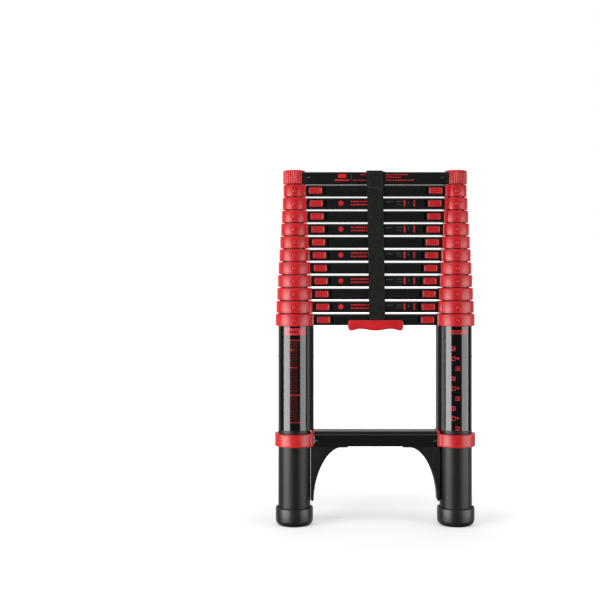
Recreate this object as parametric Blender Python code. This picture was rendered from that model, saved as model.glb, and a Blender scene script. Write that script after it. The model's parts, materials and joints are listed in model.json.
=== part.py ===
"""Telescoping ladder with twelve nested tubes on each side, standing collapsed on its feet.

Metres. X runs across the ladder, -Y is its front, +Z is up. The origin is on the floor,
midway between the two feet. Each section slides up out of the one outside it.
Run with: blender --background --python part.py
"""

import math

import bmesh
import bpy

# Driving dimensions of the whole ladder
STILE_X = 0.201              # from the middle of the ladder to each stile's axis
SECTIONS = 12                # nested tubes on each side, each with a rung on top
STACK_FOOT_Z = 0.509         # centre of the lowest stacked rung
STACK_PITCH = 0.032          # between rungs when the ladder is collapsed
STEP_PITCH = 0.292           # between rungs when the ladder is extended
GAP = 0.0003                 # clearance left between neighbouring pieces

# Nested tubes
SEGMENTS = 20
OUTER_TUBE_RADIUS = 0.040
TUBE_WALL = 0.0015
TUBE_CLEARANCE = 0.0005
TUBE_DROP = 0.382            # from a rung's centre down to its tube's lower end
OUTER_TUBE_FOOT_Z = 0.006

# Collars and end caps
COLLAR_PROUD = 0.007         # collar radius beyond its tube's radius
COLLAR_HALF_HEIGHT = 0.0149
COLLAR_FLAT_PROUD = 0.001    # squared inner side beyond the collar's radius
COLLAR_FLAT_HALF_WIDTH = 0.022
CAP_RADIUS = 0.0278
CAP_TOP_Z = 0.880
CAP_TOP_THICKNESS = 0.005
CAP_EDGE = 0.003

# Rungs
RUNG_HEIGHT = 0.027
RUNG_DEPTH = 0.040
RUNG_WALL = 0.0016
RUNG_CORNER = 0.003
TOP_RUNG_CENTRE_Z = 0.8602
TOP_RUNG_HEIGHT = 0.030

# Release sliders: a thumb pad, its carriage inside the rung and its lock pin
SLIDER_RUNGS = 6
SLIDER_TRAVEL = 0.008
PAD_GAP = 0.0080             # rung face left showing between collar and pad
PAD_WIDTH = 0.0325
PAD_HEIGHT = 0.016
PAD_PROUD = 0.002
CARRIAGE_HEIGHT = 0.019
CARRIAGE_BACK_Y = 0.006
PIN_SIZE = 0.008
PIN_HOLE_SIZE = 0.009

# Bottom rung, its clamps and braces
BOTTOM_RUNG_Z = (0.196, 0.234)
BOTTOM_RUNG_DEPTH = 0.050
BOTTOM_RUNG_WALL = 0.002
CLAMP_Z = (0.196, 0.2275)
CLAMP_BLOCK_TOP_Z = 0.2355
CLAMP_RADIUS = 0.049
CLAMP_FLAT = 0.0495
CLAMP_HALF_WIDTH = 0.027
BRACE_DEPTH = 0.034
BRACE_FOOT_Z = 0.060
BRACE_TAB_X = 0.068
ARCH_CENTRE = (0.086, 0.065)
ARCH_RADII = (0.067, 0.1275)
ARCH_FULLNESS = 1.8          # 2 is an ellipse, less is straighter

# Side strips
STRIP_FLAT = 0.048           # from the stile's axis to the strip's flat inner face
STRIP_HALF_WIDTH = 0.020

# Feet
FOOT_RADIUS = 0.0465
FOOT_HEIGHT = 0.044
FOOT_TREAD_RADIUS = 0.040

# Carry handle, strap and strap keeper
HANDLE_HALF_LENGTH = 0.068
HANDLE_Z = (0.4825, 0.5086)
HANDLE_FRONT_Y = -0.027
FINGER_DEPTH = 0.0045
STRAP_MIDDLE_X = 0.004
STRAP_WIDTH = 0.040
STRAP_THICKNESS = 0.0016
STRAP_BACK_Y = -0.0218
STRAP_Z = (0.5092, 0.876)
STRAP_HINGE = (-0.0255, 0.510)
KEEPER_THICKNESS = 0.0012

SIDES = {"left": -1, "right": 1}


def tube_radius(section):
    """Outer radius of a section's tube, counted from 1 at the outside."""
    return OUTER_TUBE_RADIUS - (section - 1) * (TUBE_WALL + TUBE_CLEARANCE)


def rung_centre(section):
    """Height of a section's rung in the collapsed ladder."""
    if section == SECTIONS:
        return TOP_RUNG_CENTRE_Z
    return STACK_FOOT_Z + (section - 1) * STACK_PITCH


def collar_centre(section):
    return STACK_FOOT_Z + (section - 1) * STACK_PITCH


def collar_flat(section):
    """Distance from a stile's axis to the face that its rung meets."""
    if section == SECTIONS:
        return CAP_RADIUS
    return tube_radius(section) + COLLAR_PROUD + COLLAR_FLAT_PROUD


def plastic(name, colour, roughness):
    return surface(name, colour, roughness, 0.0)


def surface(name, colour, roughness, metallic):
    material = bpy.data.materials.new(name)
    material.use_nodes = True
    shader = material.node_tree.nodes["Principled BSDF"]
    shader.inputs["Base Color"].default_value = (*colour, 1.0)
    shader.inputs["Roughness"].default_value = roughness
    shader.inputs["Metallic"].default_value = metallic
    material.diffuse_color = (*colour, 1.0)
    return material


def add_object(name, mesh_builder, material, location=(0.0, 0.0, 0.0)):
    """Make a named object from a bmesh, with its faces pointing out."""
    bmesh.ops.recalc_face_normals(mesh_builder, faces=mesh_builder.faces[:])
    mesh = bpy.data.meshes.new(name)
    mesh_builder.to_mesh(mesh)
    mesh_builder.free()
    if material is not None:
        mesh.materials.append(material)
    obj = bpy.data.objects.new(name, mesh)
    obj.location = location
    bpy.context.collection.objects.link(obj)
    return obj


def shade_round(obj):
    obj.data.shade_smooth()
    obj.data.set_sharp_from_angle(angle=math.radians(35))


def combine(obj, other, operation):
    """Apply another object to this one as a Boolean, and keep it as a hidden guide."""
    other.hide_render = True
    other.display_type = "WIRE"
    modifier = obj.modifiers.new(other.name, "BOOLEAN")
    modifier.operation = operation
    modifier.solver = "EXACT"
    modifier.object = other


def stack_rings(rings, closed):
    """Skin equal rings of points into one solid, joined end to end or capped at both ends."""
    builder = bmesh.new()
    loops = [[builder.verts.new(point) for point in ring] for ring in rings]
    pairs = list(zip(loops, loops[1:]))
    if closed:
        pairs.append((loops[-1], loops[0]))
    else:
        builder.faces.new(loops[0])
        builder.faces.new(loops[-1])
    count = len(loops[0])
    for lower, upper in pairs:
        for i in range(count):
            j = (i + 1) % count
            builder.faces.new((lower[i], lower[j], upper[j], upper[i]))
    return builder


def circle(radius, z):
    """Ring whose first point lies towards the middle of the ladder."""
    steps = [2 * math.pi * i / SEGMENTS for i in range(SEGMENTS)]
    return [(radius * math.cos(a), radius * math.sin(a), z) for a in steps]


def squared_circle(radius, flat, half_width, z):
    """Circle squared off towards the middle of the ladder, with as many points."""
    ring = circle(radius, z)
    step = 2 * math.pi / SEGMENTS
    corner = max(1, round(math.atan2(half_width, flat) / step))
    for i in range(-corner, corner + 1):
        ring[i] = (flat, half_width * i / corner, z)
    return ring


def facing(points, side):
    """Turn points drawn for the left stile, whose inner side is +X, to either side."""
    return [(-side * x, y, z) for x, y, z in points]


def box(name, low, high, material=None):
    """Box between two corners, with its origin at its middle."""
    middle = [(a + b) / 2 for a, b in zip(low, high)]
    builder = bmesh.new()
    bmesh.ops.create_cube(builder, size=1.0)
    for vert in builder.verts:
        for axis in range(3):
            vert.co[axis] *= high[axis] - low[axis]
    return add_object(name, builder, material, middle)


def inward_box(name, side, near, far, low_yz, high_yz):
    """Box placed by its distance from a stile's axis towards the middle of the ladder."""
    ends = sorted(side * (STILE_X - reach) for reach in (near, far))
    return box(name, (ends[0], *low_yz), (ends[1], *high_yz))


def rounded_rectangle(depth, height, corner, points_per_corner=3):
    """Outline across Y and up Z, with round corners."""
    outline = []
    for quadrant, (sign_y, sign_z) in enumerate(((1, 1), (-1, 1), (-1, -1), (1, -1))):
        centre_y = sign_y * (depth / 2 - corner)
        centre_z = sign_z * (height / 2 - corner)
        for i in range(points_per_corner):
            angle = math.pi / 2 * (quadrant + i / (points_per_corner - 1))
            outline.append((centre_y + corner * math.cos(angle), centre_z + corner * math.sin(angle)))
    return outline


def hollow_bar(name, half_length, depth, height, wall, material, centre_z):
    """Rectangular tube along X with both ends open."""
    outer = rounded_rectangle(depth, height, RUNG_CORNER)
    inner = rounded_rectangle(depth - 2 * wall, height - 2 * wall, RUNG_CORNER - wall / 2)
    rings = [[(x, y, z) for y, z in outline]
             for x, outline in ((-half_length, outer), (half_length, outer),
                                (half_length, inner), (-half_length, inner))]
    return add_object(name, stack_rings(rings, closed=True), material, (0.0, 0.0, centre_z))


def extrude_outline(outline, front_y, back_y):
    """Plate with an outline across X and up Z, between two planes of Y."""
    rings = [[(x, y, z) for x, z in outline] for y in (front_y, back_y)]
    return stack_rings(rings, closed=False)


def make_stile(section, side_name, material):
    """One nested tube with the collar that is moulded round its top."""
    side = SIDES[side_name]
    radius = tube_radius(section)
    bore = radius - TUBE_WALL
    collar = radius + COLLAR_PROUD
    flat = collar_flat(section)
    centre = collar_centre(section)
    foot = (OUTER_TUBE_FOOT_Z - centre) if section == 1 else -TUBE_DROP
    rings = [
        circle(bore, foot),
        circle(radius, foot),
        circle(radius, -COLLAR_HALF_HEIGHT),
        squared_circle(collar, flat, COLLAR_FLAT_HALF_WIDTH, -COLLAR_HALF_HEIGHT),
        squared_circle(collar, flat, COLLAR_FLAT_HALF_WIDTH, COLLAR_HALF_HEIGHT),
        circle(bore, COLLAR_HALF_HEIGHT),
    ]
    builder = stack_rings([facing(ring, side) for ring in rings], closed=True)
    name = f"stile_{section:02d}_{side_name}"
    return add_object(name, builder, material, (side * STILE_X, 0.0, centre))


def make_capped_stile(side_name, material):
    """The innermost tube with its end cap."""
    side = SIDES[side_name]
    radius = tube_radius(SECTIONS)
    bore = radius - TUBE_WALL
    centre = collar_centre(SECTIONS)
    top = CAP_TOP_Z - centre
    rings = [
        circle(bore, top - CAP_TOP_THICKNESS),
        circle(bore, -TUBE_DROP),
        circle(radius, -TUBE_DROP),
        circle(radius, -COLLAR_HALF_HEIGHT),
        circle(CAP_RADIUS, -COLLAR_HALF_HEIGHT),
        circle(CAP_RADIUS, top - CAP_EDGE),
        circle(CAP_RADIUS - CAP_EDGE, top),
    ]
    builder = stack_rings([facing(ring, side) for ring in rings], closed=False)
    name = f"stile_{SECTIONS:02d}_{side_name}"
    return add_object(name, builder, material, (side * STILE_X, 0.0, centre))


def cut_square_hole(stile, section, side_name, purpose, centre_z, reach):
    """Cut a square hole through the inner wall of a tube, for a lock pin."""
    half = PIN_HOLE_SIZE / 2
    near = tube_radius(section) - 2 * TUBE_WALL
    cutter = inward_box(f"{purpose}_{section:02d}_{side_name}_cutter", SIDES[side_name], near, reach,
                        (-half, centre_z - half), (half, centre_z + half))
    combine(stile, cutter, "DIFFERENCE")


def make_stiles(material):
    for side_name in SIDES:
        for section in range(1, SECTIONS):
            stile = make_stile(section, side_name, material)
            centre = collar_centre(section)
            if section <= SLIDER_RUNGS:
                cut_square_hole(stile, section, side_name, "pin_hole", centre,
                                collar_flat(section) + GAP)
            if 1 < section <= SLIDER_RUNGS + 1:
                cut_square_hole(stile, section, side_name, "lock_hole", centre - STEP_PITCH,
                                tube_radius(section) + TUBE_WALL)
            shade_round(stile)
        shade_round(make_capped_stile(side_name, material))


def pad_reach(section):
    """Where a thumb pad starts and ends, as distances from the stile's axis."""
    start = collar_flat(section) + PAD_GAP
    return start, start + PAD_WIDTH


def make_rung(section, material):
    """Hollow rung, with a window for each thumb pad where it carries release sliders."""
    top = section == SECTIONS
    height = TOP_RUNG_HEIGHT if top else RUNG_HEIGHT
    half_length = STILE_X - collar_flat(section) - GAP
    rung = hollow_bar(f"rung_{section:02d}", half_length, RUNG_DEPTH, height, RUNG_WALL, material,
                      rung_centre(section))
    if section <= SLIDER_RUNGS:
        start, end = pad_reach(section)
        half = PAD_HEIGHT / 2 + GAP
        for side_name, side in SIDES.items():
            window = inward_box(f"window_{section:02d}_{side_name}_cutter", side,
                                start - GAP, end + SLIDER_TRAVEL + GAP,
                                (-RUNG_DEPTH / 2 - GAP, rung_centre(section) - half),
                                (-RUNG_DEPTH / 2 + 1.5 * RUNG_WALL, rung_centre(section) + half))
            combine(rung, window, "DIFFERENCE")
    shade_round(rung)


def make_slider(section, side_name, material):
    """Thumb pad and carriage, joined to the lock pin that reaches through the collar."""
    side = SIDES[side_name]
    centre = rung_centre(section)
    start, end = pad_reach(section)
    pad_front = -RUNG_DEPTH / 2 - PAD_PROUD
    carriage_front = -RUNG_DEPTH / 2 + RUNG_WALL + GAP
    carriage = (collar_flat(section) + 2 * GAP, end + SLIDER_TRAVEL / 2)
    middle = (start + end) / 2

    def slice_at(reach, half_height, y):
        near, far = reach[0] - middle, reach[1] - middle
        return [(near, y, -half_height), (far, y, -half_height),
                (far, y, half_height), (near, y, half_height)]

    rings = [
        slice_at((start, end), PAD_HEIGHT / 2, pad_front),
        slice_at((start, end), PAD_HEIGHT / 2, carriage_front),
        slice_at(carriage, CARRIAGE_HEIGHT / 2, carriage_front),
        slice_at(carriage, CARRIAGE_HEIGHT / 2, CARRIAGE_BACK_Y),
    ]
    builder = stack_rings([facing(ring, side) for ring in rings], closed=False)
    name = f"release_slider_{section:02d}_{side_name}"
    slider = add_object(name, builder, material, (side * (STILE_X - middle), 0.0, centre))
    half = PIN_SIZE / 2
    pin_tip = tube_radius(section) - TUBE_WALL - GAP / 3
    pin = inward_box(f"lock_pin_{section:02d}_{side_name}_guide", side, pin_tip, start,
                     (-half, centre - half), (half, centre + half))
    combine(slider, pin, "UNION")


def make_clamp(side_name, material):
    """Ring round the outer tube, with a taller block that holds the bottom rung's end."""
    side = SIDES[side_name]
    bore = OUTER_TUBE_RADIUS + GAP
    low, high = CLAMP_Z
    rings = [
        circle(bore, low),
        squared_circle(CLAMP_RADIUS, CLAMP_FLAT, CLAMP_HALF_WIDTH, low),
        squared_circle(CLAMP_RADIUS, CLAMP_FLAT, CLAMP_HALF_WIDTH, high),
        circle(bore, high),
    ]
    builder = stack_rings([facing(ring, side) for ring in rings], closed=True)
    block_top = [face for face in builder.faces
                 if all(abs(vert.co.z - high) < GAP for vert in face.verts)
                 and all(abs(vert.co.y) < CLAMP_HALF_WIDTH + GAP for vert in face.verts)
                 and -side * face.calc_center_median().x > bore / 2]
    raised = bmesh.ops.extrude_face_region(builder, geom=block_top)
    bmesh.ops.delete(builder, geom=block_top, context="FACES")
    for item in raised["geom"]:
        if isinstance(item, bmesh.types.BMVert):
            item.co.z = CLAMP_BLOCK_TOP_Z
    clamp = add_object(f"bottom_clamp_{side_name}", builder, material, (side * STILE_X, 0.0, 0.0))
    shade_round(clamp)


def make_arch_brace(side_name, material):
    """Brace in the corner between the outer tube and the bottom rung, with an arched edge."""
    side = SIDES[side_name]
    outer = STILE_X - OUTER_TUBE_RADIUS - GAP
    top = BOTTOM_RUNG_Z[0] - GAP
    centre_x, centre_z = ARCH_CENTRE
    reach_x, reach_z = ARCH_RADII
    leg = centre_x + reach_x
    outline = [(BRACE_TAB_X, top), (outer, top), (outer, BRACE_FOOT_Z), (leg, BRACE_FOOT_Z)]
    steps = 12
    power = 2 / ARCH_FULLNESS
    for i in range(steps):
        angle = math.pi / 2 * i / steps
        outline.append((centre_x + reach_x * math.cos(angle) ** power,
                        centre_z + reach_z * math.sin(angle) ** power))
    outline.append((BRACE_TAB_X, centre_z + reach_z))
    outline = [(side * x, z) for x, z in outline]
    builder = extrude_outline(outline, -BRACE_DEPTH / 2, BRACE_DEPTH / 2)
    add_object(f"arch_brace_{side_name}", builder, material)


def make_side_strip(side_name, material):
    """Rail along the outer tube that squares off its inner side, hollowed to fit the tube."""
    side = SIDES[side_name]
    low = CLAMP_BLOCK_TOP_Z + GAP
    high = collar_centre(1) - COLLAR_HALF_HEIGHT - GAP
    ends = sorted(side * (STILE_X - reach) for reach in (OUTER_TUBE_RADIUS / 2, STRIP_FLAT))
    strip = box(f"side_strip_{side_name}", (ends[0], -STRIP_HALF_WIDTH, low),
                (ends[1], STRIP_HALF_WIDTH, high), material)
    bore = OUTER_TUBE_RADIUS + GAP
    rings = [facing(circle(bore, z), side) for z in (low - GAP, high + GAP)]
    tube = add_object(f"strip_bore_{side_name}_cutter", stack_rings(rings, closed=False), None,
                      (side * STILE_X, 0.0, 0.0))
    combine(strip, tube, "DIFFERENCE")


def make_foot(side_name, material):
    """Rubber foot, a deep cup round the lower end of the outer tube."""
    side = SIDES[side_name]
    bore = OUTER_TUBE_RADIUS + GAP
    rings = [
        circle(FOOT_TREAD_RADIUS, 0.0),
        circle(FOOT_RADIUS - 0.001, 0.008),
        circle(FOOT_RADIUS, 0.018),
        circle(FOOT_RADIUS, FOOT_HEIGHT - 0.002),
        circle(FOOT_RADIUS - 0.002, FOOT_HEIGHT),
        circle(bore, FOOT_HEIGHT),
        circle(bore, OUTER_TUBE_FOOT_Z - GAP),
    ]
    foot = add_object(f"foot_{side_name}", stack_rings(rings, closed=False), material,
                      (side * STILE_X, 0.0, 0.0))
    shade_round(foot)


def make_handle(material):
    """Saddle round the lower half of the first rung, with two finger hollows below."""
    low, high = HANDLE_Z
    corner = 0.005
    outline = []
    for sign in (1, -1):
        for i in range(4):
            angle = math.pi / 2 * i / 3
            x = HANDLE_HALF_LENGTH - corner + corner * (math.cos(angle) if sign > 0 else math.sin(angle))
            z = high - corner + corner * (math.sin(angle) if sign > 0 else math.cos(angle))
            outline.append((sign * x, z))
    steps = 20
    for i in range(steps + 1):
        x = -HANDLE_HALF_LENGTH + 2 * HANDLE_HALF_LENGTH * i / steps
        hollow = 0.5 - 0.5 * math.cos(4 * math.pi * i / steps)
        outline.append((x, low + FINGER_DEPTH * hollow))
    handle = add_object("carry_handle", extrude_outline(outline, HANDLE_FRONT_Y, RUNG_DEPTH / 2), material)
    rung_half = RUNG_DEPTH / 2 + GAP
    rung_floor = STACK_FOOT_Z - RUNG_HEIGHT / 2 - GAP
    channel = box("handle_channel_cutter", (-0.08, -rung_half, rung_floor), (0.08, rung_half + 0.005, 0.53))
    combine(handle, channel, "DIFFERENCE")


def make_strap(material):
    """Webbing strap that stands up the front, with its origin on the line it folds about."""
    hinge_y, hinge_z = STRAP_HINGE
    low, high = STRAP_Z
    builder = bmesh.new()
    bmesh.ops.create_cube(builder, size=1.0)
    for vert in builder.verts:
        vert.co.x = STRAP_MIDDLE_X + vert.co.x * STRAP_WIDTH
        vert.co.y = STRAP_BACK_Y - STRAP_THICKNESS / 2 + vert.co.y * STRAP_THICKNESS - hinge_y
        vert.co.z = (low + high) / 2 + vert.co.z * (high - low) - hinge_z
    add_object("carry_strap", builder, material, (0.0, hinge_y, hinge_z))


def make_strap_keeper(material):
    """Sewn loop round the top rung that the strap closes against."""
    def loop(offset, x):
        outline = rounded_rectangle(RUNG_DEPTH + 2 * offset, TOP_RUNG_HEIGHT + 2 * offset,
                                    RUNG_CORNER + offset)
        return [(x, y, z) for y, z in outline]

    inner = GAP
    outer = GAP + KEEPER_THICKNESS
    start = STRAP_MIDDLE_X - STRAP_WIDTH / 2
    end = STRAP_MIDDLE_X + STRAP_WIDTH / 2
    rings = [loop(outer, start), loop(outer, end), loop(inner, end), loop(inner, start)]
    keeper = add_object("strap_keeper", stack_rings(rings, closed=True), material,
                        (0.0, 0.0, TOP_RUNG_CENTRE_Z))
    shade_round(keeper)


def main():
    for obj in list(bpy.data.objects):
        bpy.data.objects.remove(obj)

    red = plastic("red_plastic", (0.62, 0.02, 0.03), 0.45)
    black = surface("black_aluminium", (0.012, 0.012, 0.014), 0.35, 0.6)
    rubber = plastic("black_rubber", (0.015, 0.015, 0.016), 0.7)
    webbing = plastic("black_webbing", (0.01, 0.01, 0.011), 0.9)

    make_stiles(red)
    for section in range(1, SECTIONS + 1):
        make_rung(section, black)
    for side_name in SIDES:
        for section in range(1, SLIDER_RUNGS + 1):
            make_slider(section, side_name, red)
        make_clamp(side_name, red)
        make_arch_brace(side_name, black)
        make_side_strip(side_name, black)
        make_foot(side_name, rubber)
    bottom_low, bottom_high = BOTTOM_RUNG_Z
    bottom_rung = hollow_bar("bottom_rung", STILE_X - CLAMP_FLAT - GAP, BOTTOM_RUNG_DEPTH,
                             bottom_high - bottom_low, BOTTOM_RUNG_WALL, black,
                             (bottom_low + bottom_high) / 2)
    shade_round(bottom_rung)
    make_handle(red)
    make_strap(webbing)
    make_strap_keeper(webbing)


main()
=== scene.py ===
import json
import math

import bmesh
import bpy
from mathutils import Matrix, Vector


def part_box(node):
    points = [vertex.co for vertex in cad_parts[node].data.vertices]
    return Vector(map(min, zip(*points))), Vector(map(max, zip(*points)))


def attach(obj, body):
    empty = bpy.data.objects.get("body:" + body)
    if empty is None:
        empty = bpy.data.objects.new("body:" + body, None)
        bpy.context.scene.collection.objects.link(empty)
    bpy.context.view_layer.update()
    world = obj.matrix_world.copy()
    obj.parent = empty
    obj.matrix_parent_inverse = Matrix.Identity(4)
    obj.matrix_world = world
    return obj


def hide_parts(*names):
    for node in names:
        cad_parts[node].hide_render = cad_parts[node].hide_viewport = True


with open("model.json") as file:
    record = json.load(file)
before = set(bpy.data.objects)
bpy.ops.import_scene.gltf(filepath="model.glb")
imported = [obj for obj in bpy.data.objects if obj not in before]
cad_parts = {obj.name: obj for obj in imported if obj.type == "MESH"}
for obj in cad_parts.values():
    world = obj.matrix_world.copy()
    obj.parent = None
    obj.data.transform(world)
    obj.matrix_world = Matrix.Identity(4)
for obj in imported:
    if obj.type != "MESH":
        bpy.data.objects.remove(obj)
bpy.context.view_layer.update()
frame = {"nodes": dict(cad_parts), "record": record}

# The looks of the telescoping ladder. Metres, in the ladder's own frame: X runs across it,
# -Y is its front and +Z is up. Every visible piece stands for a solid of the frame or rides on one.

SIDES = {"left": -1, "right": 1}
MOUNTS = {mount["name"]: Vector(mount["pos_m"]) for mount in frame["record"]["mounts"]}
STILE_X = MOUNTS["foot_right_floor"].x
SECTIONS = sum(name.startswith("rung_") for name in frame["nodes"])
SLIDER_RUNGS = sum(name.startswith("release_slider") for name in frame["nodes"]) // 2

COLLAR_PROUD = 0.007          # a collar's radius beyond its tube's
TUBE_STEP = 0.002             # each tube's radius below that of the one outside it
TUBE_WALL = 0.0015
STEP_PITCH = 0.292            # between two rungs of the extended ladder
PIN_RADIUS = 0.004
HOLE_RADIUS = 0.0045
COLLAR_FLAT_HALF_WIDTH = 0.022
CLAMP_FLAT_HALF_WIDTH = 0.026
CLAMP_RING_HEIGHT = 0.0315
SLIDER_TRAVEL = 0.008
PAD_SIZE = (0.0325, 0.016)
PAD_GAP = 0.0080              # between a pad's outer end and the rung's end
RUNG_WALL = 0.0016
BOTTOM_RUNG_WALL = 0.002
BOTTOM_RUNG_STEP = 0.0075     # height of the recessed lip under its tread
RUNG_CORNER = 0.0035
BRACE_TAB_X = 0.068
BRACE_ARCH_CENTRE = (0.086, 0.065)
BRACE_ARCH_REACH = (0.067, 0.1275)
FLUTES = 28
TUBE_RIVET_Z = 0.4180
RAIL_RIVET_Z = 0.4175
FOOT_SCREW_Z = 0.071
ROUND = 96                    # points round a tube
COLLAR_ROUND = 128            # points round a collar
THIN = 0.00012                # thickness of printed marks

CAMERA_PLACE = (-0.187, -2.70, 0.635)
CAMERA_LENS = 65.0
CAMERA_SHIFT = -0.0517
SOFTBOXES = (                 # name, azimuth, height, distance, size, power
    ("softbox_left", -58, 0.33, 2.4, (1.94, 1.85), 97),
    ("softbox_right", 65, 0.33, 2.4, (2.3, 1.85), 60),
    ("softbox_top", 10, 3.0, 0.2, (3.0, 3.0), 50))


# ---------------------------------------------------------------- places read from the frame

def stile_box(section):
    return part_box(f"stile_{section:02d}_right")


def collar_radius(section):
    return stile_box(section)[1].y


def tube_radius(section):
    return collar_radius(1) - COLLAR_PROUD - (section - 1) * TUBE_STEP


def rung_box(section):
    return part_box(f"rung_{section:02d}")


def rung_centre(section):
    low, high = rung_box(section)
    return (low.z + high.z) / 2


def rung_reach(section):
    """Distance from a stile's axis to the rung's end."""
    return STILE_X - rung_box(section)[1].x


def section_body(section):
    return "base" if section == 1 else f"section_{section:02d}"


# ---------------------------------------------------------------- shapes: lists of (points, faces)

def skin(rings, closed=False):
    """Skin equal rings into a solid, joined end to start or with both ends filled."""
    count = len(rings[0])
    points = [point for ring in rings for point in ring]
    faces = []
    for k in range(len(rings) if closed else len(rings) - 1):
        a, b = k * count, (k + 1) % len(rings) * count
        for i in range(count):
            j = (i + 1) % count
            faces.append((a + i, a + j, b + j, b + i))
    if not closed:
        faces.append(tuple(range(count)))
        faces.append(tuple(range(len(points) - count, len(points))))
    return points, faces


def merge(shapes):
    points, faces = [], []
    for more_points, more_faces in shapes:
        start = len(points)
        points += more_points
        faces += [tuple(start + i for i in face) for face in more_faces]
    return points, faces


def block(low, high):
    (x0, y0, z0), (x1, y1, z1) = low, high
    return skin([[(x0, y0, z), (x1, y0, z), (x1, y1, z), (x0, y1, z)] for z in (z0, z1)])


def prism(outline, front, back):
    """Plate with an outline across X and up Z, between two planes of Y."""
    return skin([[(x, y, z) for x, z in outline] for y in (front, back)])


def rod(start, end, radius, count=24):
    """Round rod between two points."""
    start, end = Vector(start), Vector(end)
    across = (end - start).orthogonal().normalized() * radius
    other = (end - start).normalized().cross(across)
    angles = [2 * math.pi * i / count for i in range(count)]
    return skin([[tuple(centre + across * math.cos(a) + other * math.sin(a)) for a in angles]
                 for centre in (start, end)])


def inward(side, reach, y, z):
    """Point at a distance from a stile's axis towards the middle of the ladder."""
    return side * (STILE_X - reach), y, z


def circle(side, radius, z, count=ROUND):
    angles = [2 * math.pi * i / count for i in range(count)]
    return [inward(side, radius * math.cos(a), radius * math.sin(a), z) for a in angles]


def squared_circle(side, radius, flat, half_width, z, count=COLLAR_ROUND):
    """Circle squared off towards the middle of the ladder, with softened corners."""
    ring = []
    for i in range(count):
        a = 2 * math.pi * i / count
        reach = radius
        if math.cos(a) > 0:
            square = (math.cos(a) / flat) ** 18 + (abs(math.sin(a)) / half_width) ** 18
            reach = max(radius, square ** (-1 / 18))
        ring.append(inward(side, reach * math.cos(a), reach * math.sin(a), z))
    return ring


def turned(side, profile, closed=False):
    """Solid turned about a stile's axis from (radius, height) points."""
    return skin([circle(side, radius, z) for radius, z in profile], closed)


def rounded(width, height, corner, centre=(0.0, 0.0), inset=0.0, steps=4):
    """Rounded rectangle as a list of (across, up) points."""
    width, height = width - 2 * inset, height - 2 * inset
    corner = max(corner - inset, 0.0002)
    points = []
    for quadrant, (sx, sz) in enumerate(((1, 1), (-1, 1), (-1, -1), (1, -1))):
        for i in range(steps + 1):
            a = math.pi / 2 * (quadrant + i / steps)
            points.append((centre[0] + sx * (width / 2 - corner) + corner * math.cos(a),
                           centre[1] + sz * (height / 2 - corner) + corner * math.sin(a)))
    return points


def on_tube(side, radius, offset, z):
    """Point on the front of a stile, at an arc length to the right of its front line."""
    angle = offset / radius
    return side * STILE_X + radius * math.sin(angle), -radius * math.cos(angle), z


def curved_plate(side, radius, offsets, heights, thickness=THIN):
    """Thin plate that lies on the front of a stile."""
    (left, right), (low, high) = offsets, heights
    steps = max(2, round((right - left) / 0.002))
    rings = []
    for i in range(steps + 1):
        offset = left + (right - left) * i / steps
        ring = []
        for r, z in ((radius, low), (radius + thickness, low), (radius + thickness, high), (radius, high)):
            ring.append(on_tube(side, r, offset * r / radius, z))
        rings.append(ring)
    return skin(rings)


def oval_on_tube(side, rings, z, count=36):
    """Oval solid on the front of a stile, from (radius, half width, half height) rings."""
    angles = [2 * math.pi * i / count for i in range(count)]
    return skin([[on_tube(side, radius, wide * math.cos(a), z + tall * math.sin(a)) for a in angles]
                 for radius, wide, tall in rings])


# ---------------------------------------------------------------- pieces

def mesh_object(name, shapes):
    mesh = bpy.data.meshes.new(name)
    points, faces = merge(shapes)
    mesh.from_pydata(points, [], faces)
    builder = bmesh.new()
    builder.from_mesh(mesh)
    bmesh.ops.recalc_face_normals(builder, faces=builder.faces[:])
    builder.to_mesh(mesh)
    builder.free()
    obj = bpy.data.objects.new(name, mesh)
    bpy.context.scene.collection.objects.link(obj)
    return obj


def apply_modifiers(obj):
    bpy.context.view_layer.update()
    depsgraph = bpy.context.evaluated_depsgraph_get()
    mesh = bpy.data.meshes.new_from_object(obj.evaluated_get(depsgraph))
    obj.modifiers.clear()
    obj.data = mesh


def make(name, shapes, material, body, stands_for=(), cutters=(), bevel=None, crease=32):
    """Make one finished piece that rides on a body: cut it, round its edges and shade it."""
    obj = mesh_object(name, shapes)
    guides = []
    for shape in cutters:
        guide = mesh_object(f"{name}_guide", [shape])
        guides.append(guide)
        cut = obj.modifiers.new("cut", "BOOLEAN")
        cut.operation = "DIFFERENCE"
        cut.solver = "EXACT"
        cut.object = guide
    if bevel:
        edge = obj.modifiers.new("edge", "BEVEL")
        edge.width, edge.segments = bevel
        edge.limit_method = "ANGLE"
        edge.angle_limit = math.radians(40)
    if cutters or bevel:
        apply_modifiers(obj)
    for guide in guides:
        bpy.data.objects.remove(guide)
    obj.data.name = name
    obj.data.materials.clear()
    obj.data.materials.append(material)
    obj.data.shade_smooth()
    obj.data.set_sharp_from_angle(angle=math.radians(crease))
    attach(obj, body)
    if stands_for:
        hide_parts(*stands_for)
    return obj


# ---------------------------------------------------------------- materials

def add(tree, kind, **settings):
    node = tree.nodes.new(kind)
    for key, value in settings.items():
        setattr(node, key, value)
    return node


def math_node(tree, operation, first, second=None):
    node = add(tree, "ShaderNodeMath", operation=operation)
    for socket, value in zip(node.inputs, (first, second)):
        if value is None:
            continue
        if isinstance(value, (int, float)):
            socket.default_value = value
        else:
            tree.links.new(value, socket)
    return node.outputs[0]


def noise(tree, vector, scale, detail=3.0, roughness=0.5):
    node = add(tree, "ShaderNodeTexNoise")
    node.inputs["Scale"].default_value = scale
    node.inputs["Detail"].default_value = detail
    node.inputs["Roughness"].default_value = roughness
    tree.links.new(vector, node.inputs["Vector"])
    return node.outputs["Fac"]


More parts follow.
